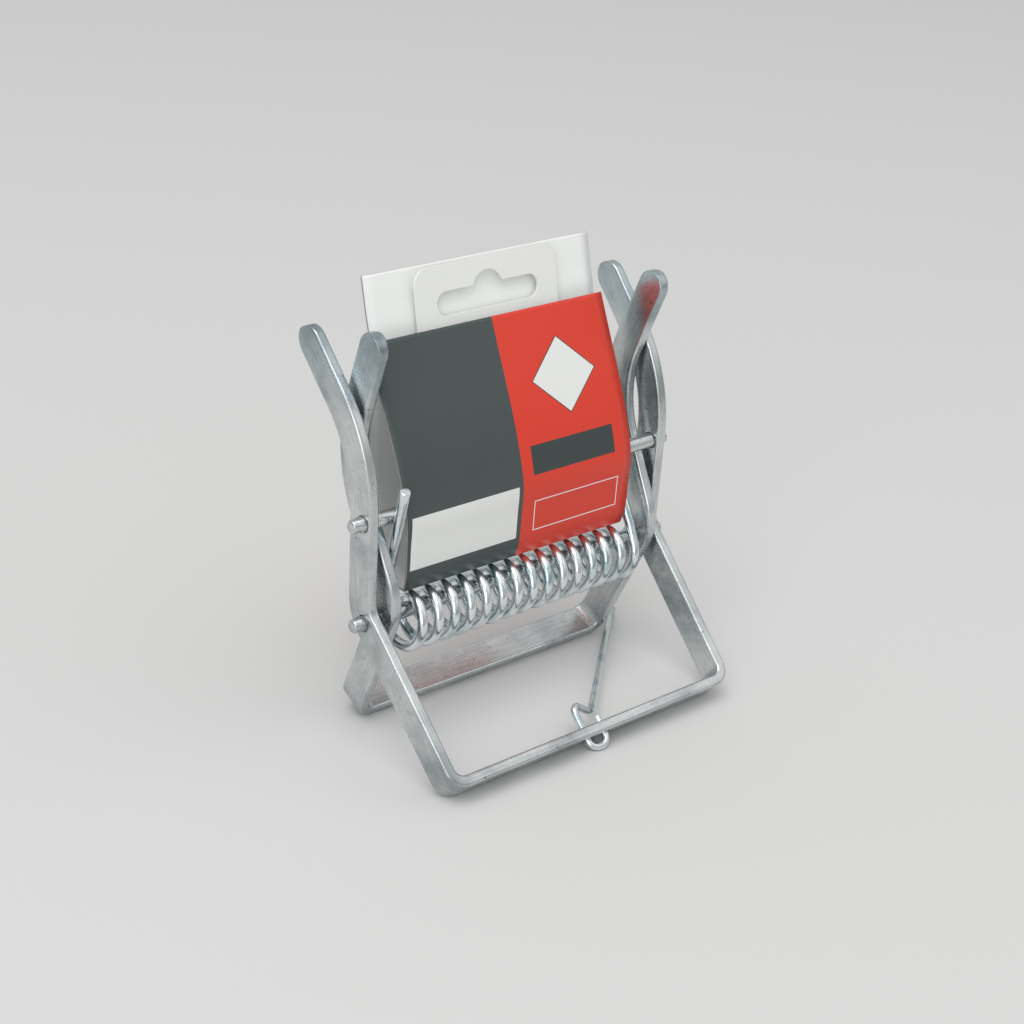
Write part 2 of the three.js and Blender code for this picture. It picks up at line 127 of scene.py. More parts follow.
def roundRing(bm, radius, sides):
    bmesh.ops.create_circle(bm, cap_ends=False, radius=radius, segments=sides)
    return list(bm.edges)


def finishMesh(name, bm, materials, smooth=True):
    mesh = bpy.data.meshes.new(name)
    for face in bm.faces:
        face.smooth = smooth
    bm.to_mesh(mesh)
    bm.free()
    piece = bpy.data.objects.new(name, mesh)
    scene.collection.objects.link(piece)
    for material in materials:
        mesh.materials.append(material)
    return piece


def bakeModifiers(piece):
    graph = bpy.context.evaluated_depsgraph_get()
    baked = bpy.data.meshes.new_from_object(piece.evaluated_get(graph), depsgraph=graph)
    piece.modifiers.clear()
    piece.data = baked
    return piece


def cutAway(piece, cutter):
    cut = piece.modifiers.new("cut", "BOOLEAN")
    cut.operation = "DIFFERENCE"
    cut.solver = "EXACT"
    cut.object = cutter
    bakeModifiers(piece)
    bpy.data.objects.remove(cutter)
    return piece


def drillBit(radius, length, centre, along, sides=40):
    bm = bmesh.new()
    bmesh.ops.create_cone(bm, cap_ends=True, segments=sides, radius1=radius, radius2=radius, depth=length)
    turn = along.to_track_quat("Z", "Y").to_matrix().to_4x4()
    bmesh.ops.transform(bm, matrix=Matrix.Translation(centre) @ turn, verts=bm.verts)
    return finishMesh("drillBit", bm, [])


def softenNormals(piece):
    weighted = piece.modifiers.new("evenShading", "WEIGHTED_NORMAL")
    weighted.weight = 100
    weighted.keep_sharp = False


# Material helpers

def linearColour(hexValue, alpha=1.0):
    channels = [int(hexValue[start:start + 2], 16) / 255 for start in (1, 3, 5)]
    linear = [value / 12.92 if value <= 0.04045 else ((value + 0.055) / 1.055) ** 2.4
              for value in channels]
    return (*linear, alpha)


def addNode(tree, kind, inputs=None, **settings):
    node = tree.nodes.new(kind)
    for name, value in settings.items():
        setattr(node, name, value)
    for name, value in (inputs or {}).items():
        if isinstance(value, bpy.types.NodeSocket):
            tree.links.new(value, node.inputs[name])
        else:
            node.inputs[name].default_value = value
    return node


def newMaterial(name):
    material = bpy.data.materials.new(name)
    material.use_nodes = True
    tree = material.node_tree
    tree.nodes.clear()
    shader = addNode(tree, "ShaderNodeBsdfPrincipled")
    output = addNode(tree, "ShaderNodeOutputMaterial")
    tree.links.new(shader.outputs[0], output.inputs[0])
    return material, tree, shader


def rampOf(tree, factor, stops):
    ramp = addNode(tree, "ShaderNodeValToRGB", {0: factor})
    elements = ramp.color_ramp.elements
    while len(elements) < len(stops):
        elements.new(0.5)
    for element, (place, colour) in zip(elements, stops):
        element.position = place
        element.color = colour
    return ramp.outputs[0]


def grey(level):
    return (level, level, level, 1)


# Zinc-coated mild steel strip, cold rolled, sheared and bent: satin grey with a fine crystal grain,
# soft clouds of tone, faint rolling marks along the strip and a few dark pits where the coat is thin.
galvanised = {
    "light": "#E2E5E5",
    "mid": "#D3D7D8",
    "dark": "#AEB5B7",
    "pit": "#5C6364",
    "crystal": 1.5,  # mm across one zinc crystal
    "grain": 0.5,  # mm across the grain within a crystal
    "cloud": 17.0,  # mm across a cloud of tone
    "rolling": 0.24,  # mm between rolling marks, coarser than the real ones so that they show
    "rollingLength": 12.0,  # mm along one mark
    "pitSpacing": 1.9,
    "roughLow": 0.21,
    "roughHigh": 0.29,
    "tipSkyReflection": "#DFE9EE",  # painted reflection of the bluish sky on the prongs
    "tipLow": 88.0,  # mm above the floor where that painted reflection begins
    "tipHigh": 100.0,  # and where it is full
    "facetShare": 0.55,
    "speckleShare": 0.22,
    "streakShare": 0.8,
    "metallic": 0.93,
    "markDepth": 0.05,  # mm, of rolling marks and pits
}


def galvanisedStrip():
    made = galvanised
    material, tree, shader = newMaterial("galvanisedStrip")
    local = addNode(tree, "ShaderNodeAttribute", attribute_name="along").outputs["Vector"]
    place = addNode(tree, "ShaderNodeTexCoord").outputs["Object"]
    cloud = addNode(tree, "ShaderNodeTexNoise", {
        "Vector": place, "Scale": 1 / (made["cloud"] * mm), "Detail": 3.0, "Roughness": 0.6})
    crystal = addNode(tree, "ShaderNodeTexVoronoi", {
        "Vector": place, "Scale": 1 / (made["crystal"] * mm)}, feature="F1")
    grain = addNode(tree, "ShaderNodeTexNoise", {
        "Vector": place, "Scale": 1 / (made["grain"] * mm), "Detail": 2.0, "Roughness": 0.6})
    perMark = 1 / (made["rolling"] * mm)
    stretch = addNode(tree, "ShaderNodeMapping", {
        "Vector": local, "Scale": (1 / (made["rollingLength"] * mm), perMark, perMark)})
    rolling = addNode(tree, "ShaderNodeTexNoise", {
        "Vector": stretch.outputs[0], "Scale": 1.0, "Detail": 2.0, "Roughness": 0.55})
    tone = rampOf(tree, cloud.outputs[0], [
        (0.30, linearColour(made["dark"])), (0.50, linearColour(made["mid"])),
        (0.70, linearColour(made["light"]))])
    facet = rampOf(tree, crystal.outputs["Color"], [(0.0, grey(0.86)), (1.0, grey(1.0))])
    speckle = rampOf(tree, grain.outputs[0], [(0.36, grey(0.80)), (0.56, grey(1.0))])
    streak = rampOf(tree, rolling.outputs[0], [(0.32, grey(0.74)), (0.60, grey(1.0))])
    colour = tone
    # Painted reflection: above tipLow the strip is tinted bluish, standing in for the sky reflected on the
    # prongs
    height = addNode(tree, "ShaderNodeSeparateXYZ", {0: place}).outputs["Z"]
    tipReflectionShare = addNode(tree, "ShaderNodeMapRange", {
        0: height, 1: made["tipLow"] * mm, 2: made["tipHigh"] * mm}).outputs[0]
    layers = [(made["facetShare"], facet), (made["speckleShare"], speckle), (made["streakShare"], streak),
              (tipReflectionShare, linearColour(made["tipSkyReflection"]))]
    for share, layer in layers:
        colour = addNode(tree, "ShaderNodeMix", {
            0: share, 6: colour, 7: layer}, data_type="RGBA", blend_type="MULTIPLY").outputs[2]
    pits = addNode(tree, "ShaderNodeTexNoise", {
        "Vector": place, "Scale": 1 / (made["pitSpacing"] * mm), "Detail": 3.0, "Roughness": 0.65})
    pitMask = rampOf(tree, pits.outputs[0], [(0.66, grey(0.0)), (0.73, grey(0.75))])
    pitted = addNode(tree, "ShaderNodeMix", {
        0: pitMask, 6: colour, 7: linearColour(made["pit"])}, data_type="RGBA")
    rough = addNode(tree, "ShaderNodeMapRange", {
        0: grain.outputs[0], 1: 0.3, 2: 0.7, 3: made["roughHigh"], 4: made["roughLow"]})
    bumpRolling = addNode(tree, "ShaderNodeBump", {
        "Height": rolling.outputs[0], "Strength": 0.11, "Distance": made["markDepth"] * mm})
    bumpPits = addNode(tree, "ShaderNodeBump", {
        "Height": pitMask, "Strength": 0.25, "Distance": made["markDepth"] * mm,
        "Normal": bumpRolling.outputs[0]}, invert=True)
    bumpCloud = addNode(tree, "ShaderNodeBump", {
        "Height": cloud.outputs[0], "Strength": 0.25, "Distance": 0.5 * mm,
        "Normal": bumpPits.outputs[0]})
    tree.links.new(pitted.outputs[2], shader.inputs["Base Color"])
    tree.links.new(rough.outputs[0], shader.inputs["Roughness"])
    tree.links.new(bumpCloud.outputs[0], shader.inputs["Normal"])
    shader.inputs["Metallic"].default_value = made["metallic"]
    return material


# Bright zinc on drawn spring wire: nearly a mirror, a cool blue-green cast from the passivation,
# and faint draw lines along the wire.
brightZinc = {
    "clean": "#E9EEF0",
    "cast": "#BDD0D5",
    "dull": "#BFC8CB",
    "castSize": 5.0,  # mm across a patch of the cast
    "drawLine": 0.16,  # mm between draw lines, coarser than the real ones so that they show
    "drawLength": 14.0,  # mm along one line
    "lineShare": 0.5,
    "roughLow": 0.10,
    "roughHigh": 0.22,
}


def brightZincWire():
    made = brightZinc
    material, tree, shader = newMaterial("brightZincWire")
    local = addNode(tree, "ShaderNodeAttribute", attribute_name="along").outputs["Vector"]
    place = addNode(tree, "ShaderNodeTexCoord").outputs["Object"]
    cast = addNode(tree, "ShaderNodeTexNoise", {
        "Vector": place, "Scale": 1 / (made["castSize"] * mm), "Detail": 2.0, "Roughness": 0.5})
    perLine = 1 / (made["drawLine"] * mm)
    stretch = addNode(tree, "ShaderNodeMapping", {
        "Vector": local, "Scale": (1 / (made["drawLength"] * mm), perLine, perLine)})
    lines = addNode(tree, "ShaderNodeTexNoise", {
        "Vector": stretch.outputs[0], "Scale": 1.0, "Detail": 2.0, "Roughness": 0.5})
    tone = rampOf(tree, cast.outputs[0], [
        (0.34, linearColour(made["cast"])), (0.5, linearColour(made["clean"])),
        (0.66, linearColour(made["clean"])), (0.8, linearColour(made["dull"]))])
    drawn = rampOf(tree, lines.outputs[0], [(0.30, grey(0.78)), (0.55, grey(1.0))])
    colour = addNode(tree, "ShaderNodeMix", {
        0: made["lineShare"], 6: tone, 7: drawn}, data_type="RGBA", blend_type="MULTIPLY")
    rough = addNode(tree, "ShaderNodeMapRange", {
        0: lines.outputs[0], 1: 0.3, 2: 0.7, 3: made["roughHigh"], 4: made["roughLow"]})
    bump = addNode(tree, "ShaderNodeBump", {
        "Height": lines.outputs[0], "Strength": 0.06, "Distance": 0.04 * mm})
    tree.links.new(colour.outputs[2], shader.inputs["Base Color"])
    tree.links.new(rough.outputs[0], shader.inputs["Roughness"])
    tree.links.new(bump.outputs[0], shader.inputs["Normal"])
    shader.inputs["Metallic"].default_value = 1.0
    return material


# Coated solid bleached board, offset printed: flat ink areas under a thin gloss coat,
# with a faint tooth from the board's fibres.
cardPrint = {
    "slate": "#454E4D",
    "red": "#DD3B27",
    "white": "#E9EAE8",
    "plate": "#3A4241",
    "bare": "#F5F6F4",
    "cut": "#A3A4A0",  # the blade greys the board's cut edge
    "tab": "#EFF0EE",
    "inkEdge": -1.0,  # mm across, where slate meets red
    "blank": (-36.9, -2.4, 47.1, 61.7),  # low and high across, then low and high above the floor
    "diamond": (18.1, 85.6, 10.9, 9.3),  # middle across, middle height, half width, half height
    "diamondLine": 0.35,  # mm wide, like the next one
    "plateBox": (2.6, 31.0, 63.7, 71.0),
    "outlineBox": (3.2, 32.6, 47.8, 56.5),
    "outlineLine": 0.3,
    "fibre": 0.35,  # mm between the board's fibres, as coarse as they need to show
    "fibreShare": 0.7,
    "mottle": 9.0,  # mm across a patch of the gloss coat
    "roughLow": 0.30,
    "roughHigh": 0.42,
    "ior": 1.5,
}


def inkBetween(tree, value, low, high):
    return addNode(tree, "ShaderNodeMath", {
        0: value, 1: (low + high) / 2 * mm, 2: (high - low) / 2 * mm}, operation="COMPARE").outputs[0]


def inkBox(tree, across, height, box, inset=0.0):
    wide = inkBetween(tree, across, box[0] + inset, box[1] - inset)
    tall = inkBetween(tree, height, box[2] + inset, box[3] - inset)
    return addNode(tree, "ShaderNodeMath", {0: wide, 1: tall}, operation="MULTIPLY").outputs[0]


def inkDiamond(tree, across, height, diamond, inset=0.0):
    middleX, middleZ, halfWidth, halfHeight = diamond
    shares = []
    for value, middle, half in ((across, middleX, halfWidth), (height, middleZ, halfHeight)):
        shift = addNode(tree, "ShaderNodeMath", {0: value, 1: middle * mm}, operation="SUBTRACT")
        size = addNode(tree, "ShaderNodeMath", {0: shift.outputs[0]}, operation="ABSOLUTE")
        shares.append(addNode(tree, "ShaderNodeMath", {
            0: size.outputs[0], 1: (half - inset) * mm}, operation="DIVIDE").outputs[0])
    total = addNode(tree, "ShaderNodeMath", {0: shares[0], 1: shares[1]}, operation="ADD")
    return addNode(tree, "ShaderNodeMath", {0: total.outputs[0], 1: 1.0}, operation="LESS_THAN").outputs[0]


def inkOver(tree, mask, under, colour):
    return addNode(tree, "ShaderNodeMix", {0: mask, 6: under, 7: colour}, data_type="RGBA").outputs[2]


def boardSurface(tree, shader, colour):
    made = cardPrint
    place = addNode(tree, "ShaderNodeTexCoord").outputs["Object"]
    fibre = addNode(tree, "ShaderNodeTexNoise", {
        "Vector": place, "Scale": 1 / (made["fibre"] * mm), "Detail": 3.0, "Roughness": 0.6})
    mottle = addNode(tree, "ShaderNodeTexNoise", {
        "Vector": place, "Scale": 1 / (made["mottle"] * mm), "Detail": 2.0})
    speckle = rampOf(tree, fibre.outputs[0], [(0.3, grey(0.93)), (0.6, grey(1.0))])
    inked = addNode(tree, "ShaderNodeMix", {
        0: made["fibreShare"], 6: colour, 7: speckle}, data_type="RGBA", blend_type="MULTIPLY")
    rough = addNode(tree, "ShaderNodeMapRange", {
        0: mottle.outputs[0], 1: 0.3, 2: 0.7, 3: made["roughLow"], 4: made["roughHigh"]})
    bump = addNode(tree, "ShaderNodeBump", {
        "Height": fibre.outputs[0], "Strength": 0.08, "Distance": 0.03 * mm})
    wave = addNode(tree, "ShaderNodeBump", {
        "Height": mottle.outputs[0], "Strength": 0.12, "Distance": 0.6 * mm, "Normal": bump.outputs[0]})
    tree.links.new(inked.outputs[2], shader.inputs["Base Color"])
    tree.links.new(rough.outputs[0], shader.inputs["Roughness"])
    tree.links.new(wave.outputs[0], shader.inputs["Normal"])
    shader.inputs["IOR"].default_value = made["ior"]


def printedBoard(name, withBlocks):
    made = cardPrint
    material, tree, shader = newMaterial(name)
    place = addNode(tree, "ShaderNodeTexCoord").outputs["Object"]
    parts = addNode(tree, "ShaderNodeSeparateXYZ", {0: place})
    across, height = parts.outputs["X"], parts.outputs["Z"]
    redSide = addNode(tree, "ShaderNodeMath", {
        0: across, 1: made["inkEdge"] * mm}, operation="GREATER_THAN").outputs[0]
    colour = inkOver(tree, redSide, linearColour(made["slate"]), linearColour(made["red"]))
    if withBlocks:
        layers = [
            (inkBox(tree, across, height, made["blank"]), made["white"]),
            (inkDiamond(tree, across, height, made["diamond"]), made["plate"]),
            (inkDiamond(tree, across, height, made["diamond"], made["diamondLine"]), made["white"]),
            (inkBox(tree, across, height, made["plateBox"]), made["plate"]),
            (inkBox(tree, across, height, made["outlineBox"]), made["white"]),
            (inkBox(tree, across, height, made["outlineBox"], made["outlineLine"]), made["red"]),
        ]
        for mask, ink in layers:
            colour = inkOver(tree, mask, colour, linearColour(ink))
    boardSurface(tree, shader, colour)
    return material


def plainBoard(name, hexValue):
    material, tree, shader = newMaterial(name)
    boardSurface(tree, shader, linearColour(hexValue))
    return material


stripFinish = galvanisedStrip()
wireFinish = brightZincWire()
frontInk = printedBoard("printedBoardFront", True)
rearInk = printedBoard("printedBoardRear", False)
bareBoard = plainBoard("bleachedBoard", cardPrint["bare"])
cutEdge = plainBoard("cutBoardEdge", cardPrint["cut"])
tabBoard = plainBoard("bleachedTabBoard", cardPrint["tab"])
print("materials made")


# The two frames of flat strip. A corner is given across, behind and above the pivot, a foot without
# its height, and the radii are those of corner, knee and shoulder.

stripSize = {"width": 8.8, "thickness": 3.0, "edge": 0.85, "standing": 0.9, "edgeSegments": 4,
             "step": math.radians(4), "tipSteps": 14, "tipLeast": 0.10}
outerStrip = {
    "foot": (46.7, -34.4), "knee": (47.9, 1.9, 1.85), "shoulder": (48.4, 2.6, 44.8),
    "tip": (49.1, 24.4, 66.55), "radii": (4.0, 10.0, 38.0)}
innerStrip = {
    "foot": (42.0, 12.5), "knee": (43.6, -3.6, 5.75), "shank": 38.9, "spread": 0.8,
    "tip": (45.55, 4.8, 70.55), "radii": (4.5, 11.0, 34.0)}


def fromPivot(across, depth, rise):
    return Vector((across * mm, pivot.y + depth * mm, pivot.z + rise * mm))


# Height of the bar's middle when its tilted strip stands on the floor, on a corner rounded to the
# radius "standing". A few rounds settle it.
def barHeight(depth, knee):
    size = stripSize
    height = 4 * mm
    for _ in range(8):
        up = direction(Vector((0, depth, height)), Vector((0, knee.y, knee.z)))
        wide = (size["width"] / 2 - size["standing"]) * abs(up.y)
        thick = (size["thickness"] / 2 - size["standing"]) * abs(up.z)
        height = (wide + thick + size["standing"]) * mm
    return height


def stripRing(bm):
    size = stripSize
    made = bmesh.ops.create_circle(bm, cap_ends=True, radius=1, segments=4)["verts"]
    bmesh.ops.rotate(bm, matrix=Matrix.Rotation(math.pi / 4, 3, "Z"), verts=made)
    toSection = mm / math.sqrt(2)  # the turned square's sides are the root of two
    bmesh.ops.scale(bm, vec=(size["width"] * toSection, size["thickness"] * toSection, 1), verts=made)
    bmesh.ops.bevel(bm, geom=made, offset=size["edge"] * mm, offset_type="OFFSET", affect="VERTICES",
                    segments=size["edgeSegments"], profile=0.5, material=-1)
    bmesh.ops.delete(bm, geom=list(bm.faces), context="FACES_ONLY")
    return list(bm.edges)


def stripPiece(name, foot, knee, shoulder, tip, radii, body):
    size = stripSize
    corners = [Vector((-corner.x, corner.y, corner.z)) for corner in (tip, shoulder, knee, foot)]
    corners += [foot, knee, shoulder, tip]
    corner, kneeBend, shoulderBend = [radius * mm for radius in radii]
    bends = [shoulderBend, kneeBend, corner, corner, kneeBend, shoulderBend]
    stations = bentPath(corners, bends, size["step"])
    barWide = xAxis.cross(direction(Vector((0, foot.y, foot.z)), Vector((0, knee.y, knee.z))))

    def wideAt(heading):
        if abs(heading.x) > math.sin(size["step"] * 2):
            return barWide
        return (xAxis.cross(heading) * math.copysign(1, heading.z)).normalized()

    matrices = [stationMatrix(place, wideAt(heading), heading) for place, heading in stations]
    rounded = []
    for (place, heading), forward in ((stations[0], -1), (stations[-1], 1)):
        end = []
        for step in range(1, size["tipSteps"] + 1):
            angle = math.acos(size["tipLeast"]) * step / size["tipSteps"]
            reach = heading * (forward * math.sin(angle) * size["width"] / 2 * mm)
            end.append(stationMatrix(place + reach, wideAt(heading), heading, math.cos(angle)))
        rounded.append(end)
    bm = bmesh.new()
    sweepRing(bm, stripRing(bm), rounded[0][::-1] + matrices + rounded[1])
    piece = finishMesh(name, bm, [stripFinish])
    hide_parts(body)
    return piece, barWide


outerKnee = fromPivot(*outerStrip["knee"])
outerShoulder = fromPivot(*outerStrip["shoulder"])
outerTip = fromPivot(*outerStrip["tip"])
outerFootDepth = pivot.y + outerStrip["foot"][1] * mm
outerFoot = Vector((outerStrip["foot"][0] * mm, outerFootDepth, barHeight(outerFootDepth, outerKnee)))
outerPiece, outerWide = stripPiece(
    "outerFrameStrip", outerFoot, outerKnee, outerShoulder, outerTip, outerStrip["radii"], "outer_frame")

innerKnee = fromPivot(*innerStrip["knee"])
toStop = Vector((0, stop.y - innerKnee.y, stop.z - innerKnee.z))
standOff = (rodRadius + restGap + stripSize["width"] / 2) * mm
shankLean = math.atan2(toStop.y, toStop.z) + math.asin(standOff / toStop.length)
innerShoulder = innerKnee + Vector((
    innerStrip["spread"] * mm,
    innerStrip["shank"] * mm * math.sin(shankLean),
    innerStrip["shank"] * mm * math.cos(shankLean)))
innerTip = fromPivot(*innerStrip["tip"])
innerFootDepth = pivot.y + innerStrip["foot"][1] * mm
innerFoot = Vector((innerStrip["foot"][0] * mm, innerFootDepth, barHeight(innerFootDepth, innerKnee)))
innerPiece, _ = stripPiece(
    "innerFrameStrip", innerFoot, innerKnee, innerShoulder, innerTip, innerStrip["radii"], "inner_frame")

holes = {"rod": 2.3, "rodDrill": 108.0, "eye": 2.0, "eyeDrill": 6.0}  # radii and the drills' lengths
for piece, centres in ((outerPiece, (pivot, stop)), (innerPiece, (pivot,))):
    for centre in centres:
        cutAway(piece, drillBit(holes["rod"] * mm, holes["rodDrill"] * mm, centre, xAxis))
print("frames made")


# Pivot rod and stop rod: round bar with turned-down, chamfered ends

rodShape = {"spigot": 1.8, "spigotStart": 50.2, "end": 52.5, "chamfer": 0.35, "neck": 0.3, "steps": 40}


def rodPiece(name, centre, node):
    made = rodShape
    bm = bmesh.new()
    half = [(0, rodRadius), (made["spigotStart"], rodRadius),
            (made["spigotStart"] + made["neck"], made["spigot"]),
            (made["end"] - made["chamfer"], made["spigot"]),
            (made["end"], made["spigot"] - made["chamfer"]), (made["end"], 0)]
    profile = [(-x, r) for x, r in half[:0:-1]] + half[1:]
    verts = [bm.verts.new((x * mm, 0, r * mm)) for x, r in profile]
    edges = [bm.edges.new(pair) for pair in zip(verts, verts[1:])]
    bmesh.ops.spin(bm, geom=verts + edges, cent=(0, 0, 0), axis=(1, 0, 0), angle=2 * math.pi,
                   steps=made["steps"], use_merge=True)
    bmesh.ops.remove_doubles(bm, verts=bm.verts, dist=0.001 * mm)
    bmesh.ops.recalc_face_normals(bm, faces=bm.faces)
    layer = bm.verts.layers.float_vector.new("along")
    for vert in bm.verts:
        vert[layer] = vert.co
    bmesh.ops.translate(bm, vec=centre, verts=bm.verts)
    piece = finishMesh(name, bm, [stripFinish])
    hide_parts(node)
    softenNormals(piece)
    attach(piece, "outer_frame")


rodPiece("pivotRodBar", pivot, "pivot_rod")
rodPiece("stopRodBar", stop, "stop_rod")
print("rods made")


# Torsion spring: coil hung on the pivot rod, left leg before the stop rod, right leg hooked
# behind the inner frame. Radii of wire, coil and bends; places across the trap.

coil = {"wire": 1.4, "radius": 6.8, "hangGap": 0.42, "left": -38.4, "right": 38.0, "turns": 14.5,
        "leftDrift": 4.3, "leftTop": 37.4, "rightAcross": 38.6, "rightEase": 6.0, "hookReach": 46.5,
        "hookBend": 3.6, "stepsPerTurn": 56, "legSteps": 12, "sides": 18, "cutEdge": 0.25}


def wireMatrices(places):
    headings = [direction(places[max(0, i - 1)], places[min(len(places) - 1, i + 1)])
                for i in range(len(places))]
    across = Vector((0, 0, 1)) if abs(headings[0].x) > 0.7 else xAxis
    matrices = []
    for place, heading in zip(places, headings):
        across = (across - heading * across.dot(heading)).normalized()
        matrices.append(stationMatrix(place, across, heading))
    return matrices


def wirePiece(name, places, radius, sides, cutEdge, node):
    bm = bmesh.new()
    ends = sweepRing(bm, roundRing(bm, radius * mm, sides), wireMatrices(places))
    rims = [edge for face in ends for edge in face.edges]
    bmesh.ops.bevel(bm, geom=rims, offset=cutEdge * mm, offset_type="OFFSET", affect="EDGES",
                    segments=2, profile=0.5, material=-1)
    piece = finishMesh(name, bm, [wireFinish])
    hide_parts(node)
    return piece


def springPlaces():
    made = coil
    height = pivot.z + (rodRadius + made["hangGap"] + made["wire"] - made["radius"]) * mm
    away = Vector((0, stop.y - pivot.y, stop.z - height))
    leftLean = math.asin((made["radius"] + rodRadius + made["wire"] + restGap) * mm / away.length)
    leftLean -= math.atan2(away.y, away.z)
    knee, shoulder, tip = [Vector((0, place.y, place.z)) for place in (innerKnee, innerShoulder, innerTip)]
    shankUp = direction(knee, shoulder)
    prongUp = direction(shoulder, tip)
    inward = (prongUp - shankUp).normalized()
    setIn = innerStrip["radii"][2] * (1 / math.cos(shankUp.angle(prongUp) / 2) - 1)
    hookOffset = stripSize["width"] / 2 + restGap + made["wire"]
    hook = shoulder + inward * (setIn - hookOffset) * mm
    reach = Vector((0, hook.y - pivot.y, hook.z - height))
    rightLean = math.atan2(reach.y, reach.z) + math.asin(made["radius"] * mm / reach.length)
    first, last = -leftLean, made["turns"] * 2 * math.pi + rightLean
    steps = round(made["stepsPerTurn"] * (last - first) / (2 * math.pi))
    turns = []
    for step in range(steps + 1):
        share = step / steps
        angle = first + (last - first) * share
        turns.append(Vector((
            (made["left"] + (made["right"] - made["left"]) * share) * mm,
            pivot.y + made["radius"] * mm * math.cos(angle),
            height - made["radius"] * mm * math.sin(angle))))
    topHeight = pivot.z + made["leftTop"] * mm
    leftTop = Vector(((made["left"] - made["leftDrift"]) * mm,
                      turns[0].y - (topHeight - turns[0].z) * math.tan(leftLean), topHeight))
    leftLeg = [leftTop.lerp(turns[0], step / made["legSteps"]) for step in range(made["legSteps"])]
    rightTurn = Vector((made["rightAcross"] * mm,
                        turns[-1].y + made["rightEase"] * mm * math.sin(rightLean),
                        turns[-1].z + made["rightEase"] * mm * math.cos(rightLean)))
    hookCorner = Vector((made["rightAcross"] * mm, hook.y, hook.z))
    hookEnd = Vector((made["hookReach"] * mm, hook.y, hook.z))
    rightLeg = bentPath([turns[-1], rightTurn, hookCorner, hookEnd],
                        [made["radius"] * mm, made["hookBend"] * mm], bendStep)
    return leftLeg + turns + [place for place, _ in rightLeg[1:]]


springPiece = wirePiece("mainSpringWire", springPlaces(), coil["wire"], coil["sides"], coil["cutEdge"],
                        "main_spring")
print("spring made")


# Trigger wire: an eye through the outer frame's bar and a long arm to the back. The arm's places
# are across, behind the pivot and above the floor.

trigger = {"wire": 1.0, "centre": 1.0, "spacing": 5.2, "turn": 0.2, "depth": 4.2, "bend": 2.5,
           "shortEnd": 3.4, "tallEnd": 9.0, "topBend": 1.8, "armBend": 4.0,
           "armStart": (5.0, -28.6, 5.2), "armPast": (43.8, 6.6, 2.4), "armEnd": 52.4,
           "sides": 18, "cutEdge": 0.2}


def onFloor(across, depth, height):
    return Vector((across * mm, pivot.y + depth * mm, height * mm))


def triggerPlaces():
    made = trigger
    legUp = direction(Vector((0, outerFoot.y, outerFoot.z)), Vector((0, outerKnee.y, outerKnee.z)))
    middle = Vector((made["centre"] * mm, outerFoot.y, outerFoot.z))
    half = made["spacing"] / 2 * mm
    beside = xAxis * half * math.cos(made["turn"]) + outerWide * half * math.sin(made["turn"])
    left, right = middle - beside, middle + beside
    armStart, armPast = onFloor(*made["armStart"]), onFloor(*made["armPast"])
    arm = direction(armStart, armPast)
    armEnd = armStart + arm * ((made["armEnd"] * mm - armStart.x) / arm.x)
    corners = [right + legUp * made["shortEnd"] * mm, right - legUp * made["depth"] * mm,
               left - legUp * made["depth"] * mm, left + legUp * made["tallEnd"] * mm, armStart, armEnd]
    bends = [made["bend"] * mm, made["bend"] * mm, made["topBend"] * mm, made["armBend"] * mm]
    stations = bentPath(corners, bends, bendStep)
    return [place for place, _ in stations], (left, right), legUp


triggerLine, eyePlaces, outerLegUp = triggerPlaces()
for eyePlace in eyePlaces:
    cutAway(outerPiece, drillBit(holes["eye"] * mm, holes["eyeDrill"] * mm, eyePlace, outerLegUp))
triggerPiece = wirePiece("triggerWire", triggerLine, trigger["wire"], trigger["sides"],
                         trigger["cutEdge"], "trigger")
for piece in (outerPiece, innerPiece):
    softenNormals(piece)
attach(outerPiece, "outer_frame")
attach(innerPiece, "inner_frame")
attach(triggerPiece, "trigger")
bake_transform(springPiece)
print("trigger made")


# Header card: one printed sheet folded over the coil, its panels before and behind the stop rod.
# The upper points are behind and above the stop rod. The lower ones are behind the pivot rod, with
# their share of the height from the fold to the stop rod.

card = {
    "thickness": 0.6, "halfWidth": 36.7, "foldDepth": 1.0, "foldRise": 1.4, "stopGap": 0.55,
    "flareTop": 3.2, "flareFold": 0.3,  # how far the front panel's left edge stands out
    "frontUpper": [(14.4, 39.9), (9.5, 29.8), (4.6, 19.8), (0.6, 10.6)],
    "frontLower": [(-2.0, 0.6), (-1.9, 0.25)],
    "rearLower": [(3.2, 0.05), (8.0, 0.27), (12.0, 0.55), (14.6, 0.8)],
    "rearUpper": [(15.0, 2.5), (15.8, 12.0), (16.0, 24.0), (17.4, 38.8), (19.6, 46.6), (21.8, 54.4)],
    "stepsPerPoint": 8, "columns": 24}


# A smooth curve through the points, with the same number of steps between each two
def smoothLine(points, stepsPerPoint):
    line = []
    for index in range(len(points) - 1):
        before = points[max(0, index - 1)]
        start, end = points[index], points[index + 1]
        after = points[min(len(points) - 1, index + 2)]
        for step in range(stepsPerPoint):
            t = step / stepsPerPoint
            outward = (end - before) / 2
            inward = (after - start) / 2
            line.append(start * (2 * t ** 3 - 3 * t ** 2 + 1) + outward * (t ** 3 - 2 * t ** 2 + t)
                        + end * (3 * t ** 2 - 2 * t ** 3) + inward * (t ** 3 - t ** 2))
    line.append(points[-1])
    return line


